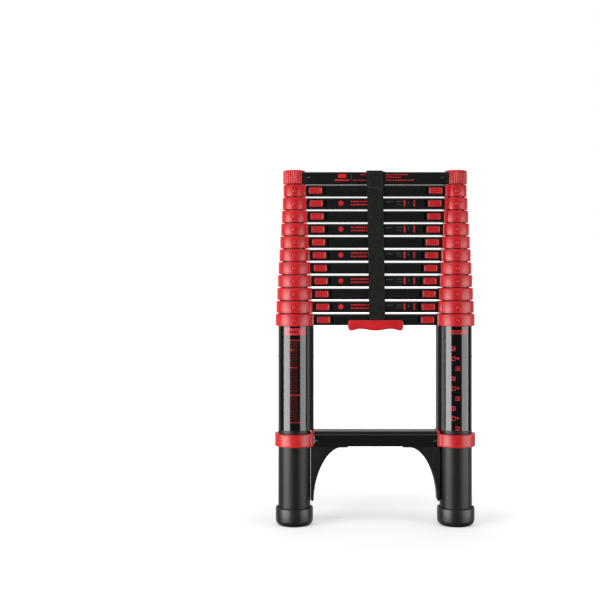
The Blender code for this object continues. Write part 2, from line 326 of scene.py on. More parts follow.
def stretched(tree, scale):
    coordinates = add(tree, "ShaderNodeTexCoord")
    mapping = add(tree, "ShaderNodeMapping")
    mapping.inputs["Scale"].default_value = scale
    tree.links.new(coordinates.outputs["Object"], mapping.inputs["Vector"])
    return mapping.outputs["Vector"]


def remap(tree, value, low, high, start=0.3, end=0.7):
    node = add(tree, "ShaderNodeMapRange")
    node.inputs["From Min"].default_value = start
    node.inputs["From Max"].default_value = end
    node.inputs["To Min"].default_value = low
    node.inputs["To Max"].default_value = high
    tree.links.new(value, node.inputs["Value"])
    return node.outputs["Result"]


def blend_colours(tree, factor, dark, light):
    node = add(tree, "ShaderNodeMix", data_type="RGBA")
    for socket, colour in zip([s for s in node.inputs if s.type == "RGBA"], (dark, light)):
        socket.default_value = (*colour, 1.0)
    tree.links.new(factor, node.inputs["Factor"])
    return next(s for s in node.outputs if s.type == "RGBA")


def bump(tree, shader, height, distance):
    node = add(tree, "ShaderNodeBump")
    node.inputs["Distance"].default_value = distance
    node.inputs["Strength"].default_value = 1.0
    tree.links.new(height, node.inputs["Height"])
    tree.links.new(node.outputs["Normal"], shader.inputs["Normal"])


def new_material(name, metallic=0.0, specular=0.5, sheen=0.0):
    material = bpy.data.materials.new(name)
    material.use_nodes = True
    shader = material.node_tree.nodes["Principled BSDF"]
    shader.inputs["Metallic"].default_value = metallic
    shader.inputs["Specular IOR Level"].default_value = specular
    shader.inputs["Sheen Weight"].default_value = sheen
    return material, material.node_tree, shader


def moulded(name, dark, light, roughness, grain=0.00004, grain_scale=1400.0, stretch=(1, 1, 1),
            **shader_values):
    """Plastic, rubber, paint or metal: faint cloudy colour, uneven gloss and a fine grain."""
    material, tree, shader = new_material(name, **shader_values)
    vector = stretched(tree, stretch)
    cloud = noise(tree, vector, 14.0, detail=5.0)
    colour = blend_colours(tree, remap(tree, cloud, 0.0, 1.0), dark, light)
    tree.links.new(colour, shader.inputs["Base Color"])
    smear = noise(tree, vector, 55.0, detail=4.0, roughness=0.6)
    tree.links.new(remap(tree, smear, *roughness), shader.inputs["Roughness"])
    bump(tree, shader, noise(tree, vector, grain_scale, detail=2.0), grain)
    return material


def webbing_material(name, dark, light):
    """Woven webbing: warp cords along Z, crossed by finer weft, with a little fuzz."""
    material, tree, shader = new_material(name, specular=0.12, sheen=0.08)
    coordinates = add(tree, "ShaderNodeTexCoord")
    axes = add(tree, "ShaderNodeSeparateXYZ")
    tree.links.new(coordinates.outputs["Object"], axes.inputs[0])
    warp = math_node(tree, "SINE", math_node(tree, "MULTIPLY", axes.outputs["X"], 2 * math.pi / 0.0022))
    lean = math_node(tree, "ADD", axes.outputs["Z"], math_node(tree, "MULTIPLY", axes.outputs["X"], 0.5))
    weft = math_node(tree, "SINE", math_node(tree, "MULTIPLY", lean, 2 * math.pi / 0.0016))
    weave = math_node(tree, "MULTIPLY", warp, weft)
    fuzz = noise(tree, coordinates.outputs["Object"], 900.0, detail=4.0)
    patches = noise(tree, coordinates.outputs["Object"], 120.0, detail=5.0, roughness=0.7)
    shade = math_node(tree, "ADD", math_node(tree, "MULTIPLY", weave, 0.12), patches)
    colour = blend_colours(tree, remap(tree, shade, 0.0, 1.0), dark, light)
    tree.links.new(colour, shader.inputs["Base Color"])
    tree.links.new(remap(tree, fuzz, 0.75, 0.95), shader.inputs["Roughness"])
    relief = math_node(tree, "ADD", weave, math_node(tree, "MULTIPLY", fuzz, 0.8))
    bump(tree, shader, relief, 0.00022)
    return material


RED = moulded("moulded_red", (0.42, 0.006, 0.009), (0.50, 0.011, 0.014), (0.32, 0.42), specular=0.5)
RED_PAD = moulded("pad_red", (0.36, 0.007, 0.009), (0.43, 0.012, 0.013), (0.32, 0.42), specular=0.5)
BLACK_TUBE = moulded("black_tube", (0.0045, 0.0045, 0.0050), (0.0075, 0.0075, 0.0080), (0.38, 0.46),
                     grain=0.00002, stretch=(1, 1, 0.04), specular=0.33)
BLACK_BAR = moulded("black_bar", (0.0030, 0.0034, 0.0034), (0.0052, 0.0058, 0.0056), (0.27, 0.35),
                    grain=0.00002, stretch=(0.04, 1, 1), specular=0.45)
BLACK_PLASTIC = moulded("black_plastic", (0.0040, 0.0040, 0.0038), (0.0070, 0.0070, 0.0065), (0.38, 0.50),
                        specular=0.35)
RUBBER = moulded("black_rubber", (0.0050, 0.0050, 0.0060), (0.0090, 0.0090, 0.0105), (0.34, 0.43),
                 grain=0.00006, grain_scale=900.0, specular=0.45)
FILM = moulded("label_film", (0.0030, 0.0026, 0.0028), (0.0055, 0.0045, 0.0048), (0.10, 0.15),
               grain=0.000005, grain_scale=300.0, specular=0.6)
INK_RED = moulded("ink_red", (0.42, 0.012, 0.020), (0.52, 0.020, 0.030), (0.25, 0.35))
INK_DARK_RED = moulded("ink_dark_red", (0.06, 0.008, 0.009), (0.11, 0.014, 0.016), (0.12, 0.18))
INK_GREY = moulded("ink_grey", (0.045, 0.038, 0.034), (0.070, 0.060, 0.054), (0.4, 0.5))
STEEL = moulded("screw_steel", (0.09, 0.10, 0.095), (0.16, 0.17, 0.165), (0.30, 0.42), metallic=1.0)
WEBBING = webbing_material("black_webbing", (0.0035, 0.0038, 0.0033), (0.0135, 0.0142, 0.0127))
WEBBING_DARK = webbing_material("dark_webbing", (0.0030, 0.0034, 0.0030), (0.0120, 0.0125, 0.0115))
THREAD = moulded("black_thread", (0.012, 0.012, 0.012), (0.024, 0.024, 0.023), (0.6, 0.8), sheen=0.3)


# ---------------------------------------------------------------- stiles

def tube_cutters(section, side, reach):
    """Hole for the lock pin in a stile's inner wall, and the hole that the pin below locks into."""
    radius = tube_radius(section)
    start = radius - 3 * TUBE_WALL
    cutters = []
    if section < SECTIONS:
        z = rung_centre(section)
        cutters.append(rod(inward(side, start, 0, z), inward(side, reach, 0, z), HOLE_RADIUS))
    if section > 1:
        z = stile_middle(section) - STEP_PITCH
        end = radius + TUBE_WALL
        cutters.append(rod(inward(side, start, 0, z), inward(side, end, 0, z), HOLE_RADIUS))
    return cutters


def stile_middle(section):
    """Height of the middle of a stile's collar."""
    return rung_centre(1) + (section - 1) * (rung_centre(2) - rung_centre(1))


def collar_half():
    """Half the height of a collar, which is the same for all."""
    return stile_box(1)[1].z - rung_centre(1)


def make_tube(section, side_name):
    """One tube of a stile, open at both ends, with its lock holes."""
    side = SIDES[side_name]
    radius = tube_radius(section)
    bore = radius - TUBE_WALL
    low = stile_box(section)[0].z
    high = stile_middle(section) + collar_half() - 0.0022
    edge = 0.0004
    profile = [(bore, low), (radius - edge, low), (radius, low + edge), (radius, high), (bore, high)]
    node = f"stile_{section:02d}_{side_name}"
    make(f"tube_{section:02d}_{side_name}", [turned(side, profile, closed=True)], BLACK_TUBE,
         section_body(section), [node], tube_cutters(section, side, radius + TUBE_WALL))


def make_collar(section, side_name):
    """Moulded collar: rounded edges, a shallow groove near its foot, a round button in a pocket in front."""
    side = SIDES[side_name]
    radius, tube = collar_radius(section), tube_radius(section)
    flat = rung_reach(section) - 0.0003
    half_width = COLLAR_FLAT_HALF_WIDTH
    middle, half = stile_middle(section), collar_half()
    band = [(0.0018, -half), (0.0007, -half + 0.0004), (0.0000, -half + 0.0014), (0.0000, -half + 0.0034),
            (0.0004, -half + 0.0037), (0.0004, -half + 0.0043), (0.0000, -half + 0.0046),
            (0.0000, half - 0.0018), (0.0005, half - 0.0008), (0.0012, half - 0.0002), (0.0022, half)]
    rings = [squared_circle(side, radius - inset, flat - inset, half_width - inset, middle + z)
             for inset, z in band]
    for inner, z in ((tube - 0.0013, half), (tube - 0.0013, half - 0.002), (tube + 0.0001, half - 0.002),
                     (tube + 0.0001, -half)):
        rings.append(circle(side, inner, middle + z, COLLAR_ROUND))
    wide, tall, depth = 0.0074, 0.0072, 0.0016
    floor = radius - depth
    pocket = oval_on_tube(side, [(floor, wide * share, tall * share) for share in (0.03, 0.35, 0.7, 1.0)]
                          + [(radius + 0.001, wide + 0.0007, tall + 0.0007)], middle)
    z = rung_centre(section)
    pin_hole = rod(inward(side, tube - 0.004, 0, z), inward(side, flat + 0.002, 0, z), HOLE_RADIUS)
    body = section_body(section)
    make(f"collar_{section:02d}_{side_name}", [skin(rings, closed=True)], RED, body,
         cutters=[pin_hole, pocket])
    button = [(floor + rise, size, size)
              for rise, size in ((-0.0003, 0.0052), (0.0007, 0.0052), (0.0012, 0.0046), (0.0014, 0.0036),
                                 (0.0014, 0.0016), (0.0014, 0.0001))]
    make(f"collar_button_{section:02d}_{side_name}", [oval_on_tube(side, button, middle)], RED, body)


def make_cap(side_name):
    """End cap with upright flutes that die out in its rounded top edge."""
    side = SIDES[side_name]
    low, high = stile_box(SECTIONS)
    radius, tube = high.y, tube_radius(SECTIONS)
    foot = stile_middle(SECTIONS) - collar_half()
    top = high.z
    count = FLUTES * 8

    def fluted(inset, depth, z):
        ring = []
        for i in range(count):
            a = 2 * math.pi * i / count
            r = radius - inset - depth * (0.5 - 0.5 * math.cos(FLUTES * a)) ** 2
            ring.append(inward(side, r * math.cos(a), r * math.sin(a), z))
        return ring

    bore = radius - tube - 0.0001
    rings = [fluted(inset, depth, z) for inset, depth, z in (
        (bore, 0.0, top - 0.006), (bore, 0.0, foot), (0.0016, 0.0, foot), (0.0004, 0.0004, foot + 0.0006),
        (0.0, 0.0015, foot + 0.0022), (0.0, 0.0015, top - 0.0050), (0.0003, 0.0010, top - 0.0032),
        (0.0014, 0.0003, top - 0.0014), (0.0032, 0.0, top - 0.0005), (0.0052, 0.0, top),
        (0.0100, 0.0, top), (0.0106, 0.0, top - 0.0006))]
    make(f"end_cap_{side_name}", [skin(rings)], RED, section_body(SECTIONS))


# ---------------------------------------------------------------- rungs and thumb releases

def tread_section(low, high, step=None):
    """Outline of a rung across Y and up Z: grooved tread, rounded corners, an optional step in front."""
    front, back = low.y, high.y
    corner = RUNG_CORNER
    points = []

    def arc(y, z, start):
        for i in range(6):
            a = math.radians(start - 18 * i)
            points.append((y + corner * math.cos(a), z + corner * math.sin(a)))

    points.append((front, low.z + corner))
    lip = front
    if step:
        lip = front + 0.0013
        points += [(front, high.z - step - 0.0014), (lip, high.z - step)]
    arc(lip + corner, high.z - corner, 180)
    pitch, width, depth = 0.0050, 0.0010, 0.00012
    count = int((back - front - 2 * corner - width) / pitch)
    start = (front + back) / 2 - (count * pitch) / 2
    for i in range(count + 1):
        y = start + pitch * i
        points += [(y - width / 2, high.z), (y - width / 4, high.z - depth),
                   (y + width / 4, high.z - depth), (y + width / 2, high.z)]
    arc(back - corner, high.z - corner, 90)
    arc(back - corner, low.z + corner, 0)
    arc(front + corner, low.z + corner, -90)
    return points[:-1]


def pad_span(section):
    """Distances of a thumb pad's two ends from its stile's axis."""
    start = rung_reach(section) - 0.0003 + PAD_GAP
    return start, start + PAD_SIZE[0]


def make_rung(name, body, low, high, windows=(), step=None, wall=RUNG_WALL):
    """Hollow bar between two corners of its box."""
    outline = tread_section(low, high, step)
    bar = skin([[(x, y, z) for y, z in outline] for x in (low.x, high.x)])
    hollow = rounded(high.y - low.y - 2 * wall, high.z - low.z - 2 * wall - 0.0008, 0.002,
                     ((low.y + high.y) / 2, (low.z + high.z) / 2 - 0.0004))
    inside = skin([[(x, y, z) for y, z in hollow] for x in (low.x - 0.001, high.x + 0.001)])
    make(name, [bar], BLACK_BAR, body, [name], [inside, *windows])


def make_end_plug(side_name):
    """Plug in the top rung's end, hollowed to fit the end cap."""
    side = SIDES[side_name]
    low, high = rung_box(SECTIONS)
    radius = collar_radius(SECTIONS) + 0.0002
    z = (low.z + high.z) / 2
    reach = rung_reach(SECTIONS)
    outline = rounded(high.y - low.y, high.z - low.z, RUNG_CORNER, (0.0, z))
    rings = [[inward(side, r, y, height) for y, height in outline] for r in (0.016, reach - 0.0001)]
    bottom, top = low.z - 0.01, high.z + 0.01
    bore = turned(side, [(0.0, bottom), (radius, bottom), (radius, top), (0.0, top)])
    make(f"rung_end_plug_{side_name}", [skin(rings)], BLACK_PLASTIC, section_body(SECTIONS),
         cutters=[bore])


def rung_windows(section):
    """Cutters for the slots in a rung's face that the thumb pads slide in."""
    low, _ = rung_box(section)
    start, end = pad_span(section)
    end += SLIDER_TRAVEL
    windows = []
    for side in SIDES.values():
        centre = (side * (STILE_X - (start + end) / 2), rung_centre(section))
        outline = rounded(end - start + 0.0006, PAD_SIZE[1] + 0.0006, 0.0012, centre)
        windows.append(prism(outline, low.y - 0.001, low.y + 0.004))
    return windows


def make_release(section, side_name):
    """Thumb pad with a dished face, its carriage inside the rung, and the lock pin that it draws back."""
    side = SIDES[side_name]
    start, end = pad_span(section)
    front = rung_box(section)[0].y - 0.002
    centre = (side * (STILE_X - (start + end) / 2), rung_centre(section))
    face = [(0.0, front + 0.0045), (0.0, front + 0.0010), (0.0003, front + 0.0004), (0.0009, front),
            (0.0019, front), (0.0024, front + 0.0004), (0.0040, front + 0.0006)]
    pad = skin([[(x, y, z) for x, z in rounded(*PAD_SIZE, 0.0016, centre, inset)] for inset, y in face])
    near, far = rung_reach(section) + 0.0004, end + SLIDER_TRAVEL / 2
    carriage_centre = (side * (STILE_X - (near + far) / 2), centre[1])
    carriage = prism(rounded(far - near, 0.019, 0.001, carriage_centre), front + 0.0041, 0.006)
    tip = tube_radius(section) - TUBE_WALL - 0.0001
    pin = rod(inward(side, tip, 0, centre[1]), inward(side, near + 0.003, 0, centre[1]), PIN_RADIUS)
    moves = section <= SLIDER_RUNGS
    body = f"release_{section:02d}_{side_name}" if moves else section_body(section)
    node = [f"release_slider_{section:02d}_{side_name}"] if moves else []
    make(f"thumb_pad_{section:02d}_{side_name}", [pad], RED_PAD, body, node)
    make(f"pin_carriage_{section:02d}_{side_name}", [carriage], BLACK_PLASTIC, body)
    make(f"lock_pin_{section:02d}_{side_name}", [pin], STEEL, body)


# ---------------------------------------------------------------- printed marks, with no lettering

def plate(low_x, high_x, low_z, high_z, front):
    return block((low_x, front - THIN, low_z), (high_x, front + THIN, high_z))


def dashes(start, end, z, height, front, seed):
    """Row of short bars of uneven length."""
    bars = []
    x = start
    step = seed
    while x < end - 0.001:
        step = (step * 7 + 3) % 11
        length = min(0.0013 + 0.0003 * step, end - x)
        bars.append(plate(x, x + length, z - height / 2, z + height / 2, front))
        x += length + 0.0014
    return bars


def make_rung_marks(section):
    """A disc and rows of bars on the left of the strap, small grey and red bars on its right."""
    low, _ = rung_box(section)
    front, z = low.y, rung_centre(section)
    body = section_body(section)
    centre, radius = -0.0860, 0.0064
    disc = [(centre + radius * math.cos(a), z + 0.0006 + radius * math.sin(a))
            for a in (2 * math.pi * i / 24 for i in range(24))]
    red = [prism(disc, front - THIN, front + THIN)]
    for row, height in enumerate((0.0050, -0.0028)):
        red += dashes(-0.061, -0.0165, z + height, 0.0036, front, section + row)
    for start, end in ((0.0692, 0.0738), (0.0937, 0.0974)):
        red.append(plate(start, end, z - 0.0070, z + 0.0085, front))
    make(f"rung_print_red_{section:02d}", red, INK_RED, body)
    grey = dashes(0.026, 0.042, z + 0.0042, 0.0022, front, section)
    grey += dashes(0.052, 0.066, z + 0.0050, 0.0022, front, section + 4)
    grey += dashes(0.052, 0.066, z - 0.0020, 0.0022, front, section + 5)
    grey.append(plate(0.0802, 0.0824, z - 0.0010, z + 0.0060, front))
    make(f"rung_print_grey_{section:02d}", grey, INK_GREY, body)


def make_top_rung_marks():
    front, z = rung_box(SECTIONS)[0].y, rung_centre(SECTIONS)
    block_outline = rounded(0.0200, 0.0100, 0.0016, (-0.0826, z + 0.0050))
    red = [prism(block_outline, front - THIN, front + THIN),
           plate(-0.1005, -0.0650, z - 0.0072, z - 0.0036, front),
           plate(-0.0600, -0.0594, z - 0.0080, z + 0.0100, front)]
    rows = ((-0.038, 0.080, 0.0082, 2), (0.026, 0.062, 0.0018, 5), (-0.056, 0.096, -0.0056, 8))
    for start, end, rise, seed in rows:
        red += dashes(start, end, z + rise, 0.0026, front, seed)
    make("rung_print_top", red, INK_RED, section_body(SECTIONS))


def make_stile_labels():
    """Glossy film round the outer tubes, with a plain scale on the left and plain shapes on the right."""
    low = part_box("side_strip_left")[0].z + 0.001
    high = stile_box(1)[1].z - 2 * collar_half() - 0.0005
    radius = tube_radius(1)
    top = high - 0.0045
    print_radius = radius + 2.2 * THIN
    for side_name, side in SIDES.items():
        edges = (-0.052, 0.0335) if side < 0 else (-0.0335, 0.052)
        make(f"label_film_{side_name}", [curved_plate(side, radius, edges, (low, high), 2 * THIN)],
             FILM, "base")

    inset_radius = print_radius + 1.5 * THIN
    scale = [curved_plate(-1, print_radius, (-0.0236, 0.0303), (top - 0.0170, top))]
    for index, end in enumerate((0.0242, 0.0070, 0.0242, 0.0242)):
        z = top - 0.0292 - index * 0.0675
        scale.append(curved_plate(-1, print_radius, (-0.0151, end), (z - 0.0008, z + 0.0008)))
    z = top - 0.0530
    scale.append(curved_plate(-1, print_radius, (-0.0140, -0.0007), (z - 0.0013, z + 0.0013)))
    make("label_red_left", scale, INK_RED, "base")
    ticks = [curved_plate(-1, inset_radius, (start, start + 0.0040), (top - 0.0115, top - 0.0060))
             for start in (-0.0120, -0.0062, -0.0004, 0.0054)]
    for index in range(53):
        z = top - 0.0340 - index * 0.0038
        end = 0.0130 if index % 5 == 0 else 0.0080
        ticks.append(curved_plate(-1, print_radius, (-0.0140, end), (z - 0.0007, z + 0.0007)))
    make("label_ticks_left", ticks, INK_DARK_RED, "base")

    header = [curved_plate(1, print_radius, (-0.0213, 0.0250), (top - 0.0140, top - 0.0050))]
    make("label_red_right", header + plain_shapes(print_radius, top), INK_RED, "base")
    bar = curved_plate(1, inset_radius, (-0.0150, 0.0080), (top - 0.0115, top - 0.0080))
    make("label_bar_right", [bar], INK_DARK_RED, "base")


def plain_shapes(radius, top):
    """Column of small frames and blocks that stand in for printing."""
    shapes = []
    line = 0.0017
    for row in range(9):
        z = top - 0.0500 - row * 0.0245
        start = (-0.0165, -0.0165, -0.0060)[row % 3]
        size = 0.0105
        end, half = start + size, size / 2
        shapes.append(curved_plate(1, radius, (start, end), (z + half - line, z + half)))
        shapes.append(curved_plate(1, radius, (start, end), (z - half, z - half + line)))
        shapes.append(curved_plate(1, radius, (start, start + line), (z - half, z + half)))
        shapes.append(curved_plate(1, radius, (end - line, end), (z - half, z + half)))
        if row % 3 == 1:
            shapes.append(curved_plate(1, radius, (start + 0.0130, start + 0.0190), (z - 0.0015, z + 0.0035)))
        else:
            shapes.append(curved_plate(1, radius, (start + 0.0045, start + 0.0078), (z - 0.0024, z + 0.0024)))
    return shapes


# ---------------------------------------------------------------- base frame

def make_clamp(side_name):
    """Ring round the outer tube, with a taller block that holds the bottom rung's end."""
    side = SIDES[side_name]
    low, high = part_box(f"bottom_clamp_{side_name}")
    radius = high.y
    flat = STILE_X - min(abs(low.x), abs(high.x))
    tube = tube_radius(1) + 0.0002
    half_width = CLAMP_FLAT_HALF_WIDTH
    ring_top = low.z + CLAMP_RING_HEIGHT
    band = [(0.0016, low.z), (0.0004, low.z + 0.0006), (0.0, low.z + 0.0016), (0.0, low.z + 0.0030),
            (0.0006, low.z + 0.0036), (0.0006, ring_top - 0.0036), (0.0, ring_top - 0.0030),
            (0.0, ring_top - 0.0014), (0.0005, ring_top - 0.0005), (0.0018, ring_top)]
    rings = [squared_circle(side, radius - i, flat - i, half_width - i, z) for i, z in band]
    rings += [circle(side, tube, z, COLLAR_ROUND) for z in (ring_top, low.z)]
    levels = ((0.0, ring_top - 0.004), (0.0, high.z - 0.0015), (0.0005, high.z - 0.0005), (0.0015, high.z))
    ear = []
    for inset, z in levels:
        outline = rounded(flat - tube - 0.0015, 0.046, 0.002, ((flat + tube + 0.0015) / 2, 0.0), inset)
        ear.append([inward(side, reach, y, z) for reach, y in outline])
    make(f"clamp_{side_name}", [skin(rings, closed=True), skin(ear)], RED, "base",
         [f"bottom_clamp_{side_name}"])


def arch_outline(side, low, high):
    """Outline of a brace: tab under the rung, straight outer side, arched inner edge."""
    centre_x, centre_z = BRACE_ARCH_CENTRE
    reach_x, reach_z = BRACE_ARCH_REACH
    fullness = 1.8
    outer = STILE_X - tube_radius(1) - 0.0005
    leg = centre_x + reach_x
    tip = (outer - leg) / 2
    points = [(BRACE_TAB_X, high.z), (outer, high.z)]
    for i in range(7):
        a = math.pi * i / 6
        points.append((leg + tip + tip * math.cos(a), low.z + tip - tip * math.sin(a)))
    steps = 28
    for i in range(1, steps):
        a = math.pi / 2 * i / steps
        points.append((centre_x + reach_x * math.cos(a) ** (2 / fullness),
                       centre_z + reach_z * math.sin(a) ** (2 / fullness)))
    points.append((BRACE_TAB_X, centre_z + reach_z))
    return [(side * x, z) for x, z in points]


def make_brace(side_name):
    side = SIDES[side_name]
    low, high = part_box(f"arch_brace_{side_name}")
    outline = arch_outline(side, low, high)
    name = f"brace_{side_name}"
    make(name, [prism(outline, low.y, high.y)], BLACK_PLASTIC, "base",
         [f"arch_brace_{side_name}"], bevel=(0.0009, 3))


def make_strip(side_name):
    """Rail that squares off the outer tube's inner side."""
    side = SIDES[side_name]
    low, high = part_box(f"side_strip_{side_name}")
    flat = STILE_X - min(abs(low.x), abs(high.x))
    half = high.y
    radius = tube_radius(1) + 0.00015
    corner, landing = 0.0025, math.radians(40)
    foot = (radius * math.cos(landing), radius * math.sin(landing))
    bend = (foot[0] + (foot[1] - half) * math.tan(landing), half)
    shoulder = (bend[0] + 0.0045, half)
    steps = 8
    fillet = []
    for i in range(steps + 1):
        t = i / steps
        fillet.append(tuple((1 - t) ** 2 * a + 2 * t * (1 - t) * b + t ** 2 * c
                            for a, b, c in zip(shoulder, bend, foot)))
    nose = [(flat - corner + corner * math.cos(math.radians(15 * i)),
             half - corner + corner * math.sin(math.radians(15 * i))) for i in range(7)]
    seat = []
    for i in range(1, steps + 1):
        a = landing * (1 - i / steps)
        seat.append((radius * math.cos(a), radius * math.sin(a)))
    upper = nose + fillet + seat
    outline = upper + [(reach, -y) for reach, y in reversed(upper[:-1])]
    rings = [[inward(side, reach, y, z) for reach, y in outline] for z in (low.z, high.z)]
    make(f"rail_{side_name}", [skin(rings)], BLACK_TUBE, "base",
         [f"side_strip_{side_name}"])


def make_foot(side_name):
    """Rubber cup on the tube's end, with grooves in its sole."""
    side = SIDES[side_name]
    low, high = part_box(f"foot_{side_name}")
    radius, top = high.y, high.z
    tube = tube_radius(1)
    rim = radius - 0.0035
    sole = [(0.006, 0.0008), (0.012, 0.0008), (0.0125, 0.0), (0.018, 0.0), (0.0185, 0.0012),
            (0.0215, 0.0012), (0.022, 0.0), (0.028, 0.0), (0.0285, 0.0012), (0.0315, 0.0012),
            (0.032, 0.0), (0.0385, 0.0)]
    wall = [(0.0398, 0.0004), (0.0408, 0.0014), (0.0412, 0.0022), (0.0420, 0.0030), (0.0438, 0.0050),
            (0.0452, 0.0074), (0.0461, 0.0102), (radius - 0.0001, 0.0130), (radius, 0.0220),
            (radius, top - 0.0026), (radius - 0.0005, top - 0.0011), (radius - 0.0016, top - 0.0002),
            (radius - 0.0026, top)]
    inside = [(rim, top - 0.0005), (rim - 0.0006, top - 0.0020), (rim - 0.0006, top - 0.0080),
              (tube + 0.0003, top - 0.0085), (tube + 0.0003, 0.0055)]
    make(f"rubber_foot_{side_name}", [turned(side, sole + wall + inside)], RUBBER, "base",
         [f"foot_{side_name}"])


# ---------------------------------------------------------------- handle, strap and keeper

def make_handle():
    """Saddle under the first rung, with two finger hollows along its lower edge."""
    low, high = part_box("carry_handle")
    half, corner = high.x, 0.0055
    rung_low, rung_high = rung_box(1)
    outline = []
    for i in range(8):
        a = math.pi / 2 * i / 7
        outline.append((half - corner + corner * math.cos(a), high.z - corner + corner * math.sin(a)))
    for i in range(8):
        a = math.pi / 2 * (1 + i / 7)
        outline.append((-half + corner + corner * math.cos(a), high.z - corner + corner * math.sin(a)))
    steps, peak, lobe, foot_corner = 60, 0.57, 0.90, 0.10
    for i in range(steps + 1):
        t = -1 + 2 * i / steps
        if abs(t) < peak:
            hollow = 0.5 - 0.5 * math.cos(math.pi * t / peak)
        else:
            hollow = 0.5 + 0.5 * math.cos(math.pi * min((abs(t) - peak) / (lobe - peak), 1.0))
        rise = 1 - math.sqrt(1 - (max(0.0, abs(t) - (1 - foot_corner)) / foot_corner) ** 2)
        outline.append((half * t, low.z + 0.0002 + 0.0042 * hollow + 0.0075 * rise))
    gap = 0.0002
    channel = block((-half - 0.01, rung_low.y - gap, rung_low.z - gap),
                    (half + 0.01, rung_high.y + 0.01, rung_high.z))
    make("handle", [prism(outline, low.y, high.y)], RED, "base", ["carry_handle"],
         [channel], bevel=(0.0016, 3))


def strap_ring(middle, width, thickness, back, z):
    """Cross-section of flat webbing, thinner at its edges."""
    ring = []
    for i in range(17):
        t = -1 + i / 8
        ring.append((middle + width / 2 * t, back - thickness * (1 - 0.35 * t ** 8), z))
    for i in range(17):
        t = 1 - i / 8
        ring.append((middle + width / 2 * t, back - thickness * 0.15 * t ** 8, z))
    return ring


def make_strap():
    """Webbing up the front with a doubled, sewn end, and the stitches that hold it."""
    low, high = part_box("carry_strap")
    foot_x, width = (low.x + high.x) / 2, high.x - low.x
    thickness = high.y - low.y
    lean = -0.0060

    def middle(z):
        return foot_x + lean * (z - low.z) / (high.z - low.z)

    def crease(x, z):
        """Two slack folds that run down to the right."""
        lift = 0.0
        for share, height in ((0.48, 0.0022), (0.34, 0.0026)):
            line = low.z + (high.z - low.z) * share - 0.80 * (x - middle(z))
            lift += height * math.exp(-((z - line) / 0.0060) ** 2)
        return lift + 0.00025 * (1 + math.sin(z * 95 + x * 40))

    steps = 90
    rings = []
    for i in range(steps + 1):
        z = low.z + (high.z - low.z) * i / steps
        fade = min(1.0, 12 * i / steps, 12 * (steps - i) / steps)
        ring = strap_ring(middle(z), width, thickness, high.y, z)
        rings.append([(x, y - fade * crease(x, z), height) for x, y, height in ring])
    make("strap", [skin(rings)], WEBBING, "strap", ["carry_strap"], crease=50)

    hem_foot = high.z - 0.045
    front = low.y - 0.0003
    slant = 0.0085
    rings = []
    for i in range(13):
        share = i / 12
        z = hem_foot + (high.z + 0.0022 - hem_foot) * share
        ring = strap_ring(middle(z) - 0.0008 * share, width + 0.0006, 0.0014, front, z)
        rings.append([(x, y, z - slant * (1 - share) * (x - middle(z)) / width) for x, y, z in ring])
    make("strap_hem", [skin(rings)], WEBBING_DARK, "strap", crease=50)

    stitches = []
    seam = front - 0.0014

    def stitch(start, end):
        stitches.append(rod((start[0], seam, start[1]), (end[0], seam, end[1]), 0.0003, 8))

    for i in range(10):
        for z in (hem_foot + 0.004, high.z - 0.003):
            start, end = (-width / 2 + 0.0036 * (i + 0.6), -width / 2 + 0.0036 * (i + 0.6) + 0.0026)
            tilt = -slant / width if z < high.z - 0.01 else 0.0
            stitch((middle(z) + start, z + tilt * start), (middle(z) + end, z + tilt * end))
    for offset in (-width / 2 + 0.003, width / 2 - 0.003):
        for i in range(10):
            z = hem_foot + 0.008 + i * 0.0036
            stitch((middle(z) + offset, z), (middle(z) + offset, z + 0.0026))
    make("strap_stitches", stitches, THREAD, "strap")


def make_keeper():
    """Sewn fabric loop round the top rung."""
    low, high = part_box("strap_keeper")
    rung_low, rung_high = rung_box(SECTIONS)
    centre = (0.0, (rung_low.z + rung_high.z) / 2)
    depth, height = rung_high.y - rung_low.y, rung_high.z - rung_low.z

    def loop(grow, x):
        outline = rounded(depth + 2 * grow, height + 2 * grow, RUNG_CORNER + grow, centre, steps=6)
        return [(x, y, z) for y, z in outline]

    inner, outer = 0.0002, 0.0013
    xs = [low.x + (high.x - low.x) * i / 16 for i in range(17)]
    rings = [loop(outer - 0.0004 * abs(2 * i / 16 - 1) ** 8, x) for i, x in enumerate(xs)]
    rings += [loop(inner, x) for x in reversed(xs)]
    make("keeper_loop", [skin(rings, closed=True)], WEBBING, section_body(SECTIONS),
         ["strap_keeper"], crease=50)


# ---------------------------------------------------------------- screws and rivets

def domed_head(centre, direction, radius, height):
    """Low domed head on a surface, as rings along its direction."""
    centre, direction = Vector(centre), Vector(direction).normalized()
    across = direction.orthogonal().normalized()
    other = direction.cross(across)
    rings = []
    for share, rise in ((1.0, -0.4), (1.0, 0.15), (0.93, 0.55), (0.72, 0.85), (0.40, 0.98), (0.12, 1.0)):
        ring = []
        for i in range(28):
            a = 2 * math.pi * i / 28
            offset = across * math.cos(a) + other * math.sin(a)
            ring.append(tuple(centre + offset * radius * share + direction * height * rise))
        rings.append(ring)
    return skin(rings)


def cross_recess(centre, direction, radius, height):
    centre, direction = Vector(centre), Vector(direction).normalized()
    across = direction.orthogonal().normalized()
    other = direction.cross(across)
    cutters = []
    for along, side in ((across, other), (other, across)):
        rings = []
        for out in (0.35, 1.4):
            base = centre + direction * height * out
            rings.append([tuple(base + along * radius * 0.55 * a + side * radius * 0.13 * b)
                          for a, b in ((-1, -1), (1, -1), (1, 1), (-1, 1))])
        cutters.append(skin(rings))
    return cutters


def make_screw(name, centre, direction, radius, body, height=0.0009, recess=True):
    cutters = cross_recess(centre, direction, radius, height) if recess else ()
    make(name, [domed_head(centre, direction, radius, height)], STEEL, body,
         cutters=cutters)


